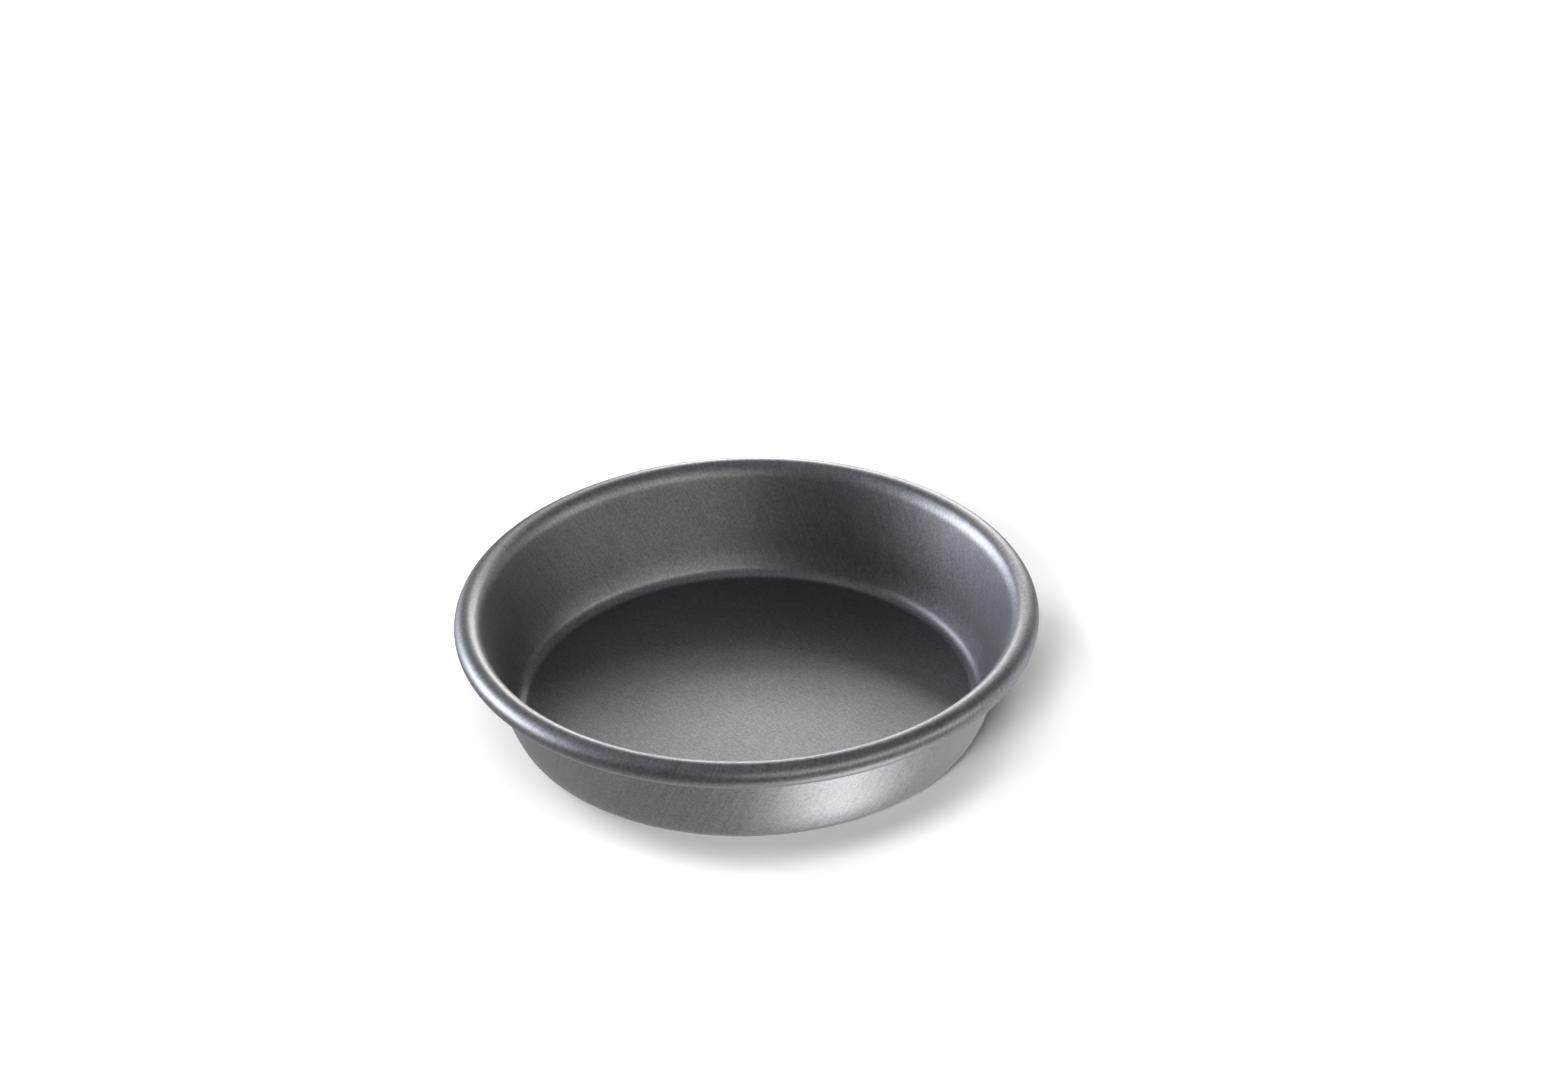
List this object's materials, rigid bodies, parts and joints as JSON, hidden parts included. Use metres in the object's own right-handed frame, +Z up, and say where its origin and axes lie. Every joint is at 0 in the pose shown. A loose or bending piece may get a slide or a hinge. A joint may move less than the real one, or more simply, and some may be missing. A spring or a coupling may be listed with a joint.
{
  "type": "pizza pan",
  "caption": "Round deep-dish pizza pan with a flat floor, rounded corner, tapered sides and a rolled rim stiffened by a wire, for baking and serving a pizza or a pie.",
  "frame": {"origin": "centre of the underside, on the surface that the pan stands on", "axes": "+Z up along the pan's axis, out of its mouth; X and Y lie across the pan, which looks alike all the way round"},
  "size_m": [0.195, 0.195, 0.0403],
  "materials": {
    "anodised_sheet": "hard-anodised dark grey, satin, with the fine grain of the drawn sheet",
    "steel_wire": "bare drawn wire"
  },
  "bodies": {
    "root": {"pan_shell": "anodised_sheet", "rim_wire": "steel_wire"}
  },
  "joints": []
}
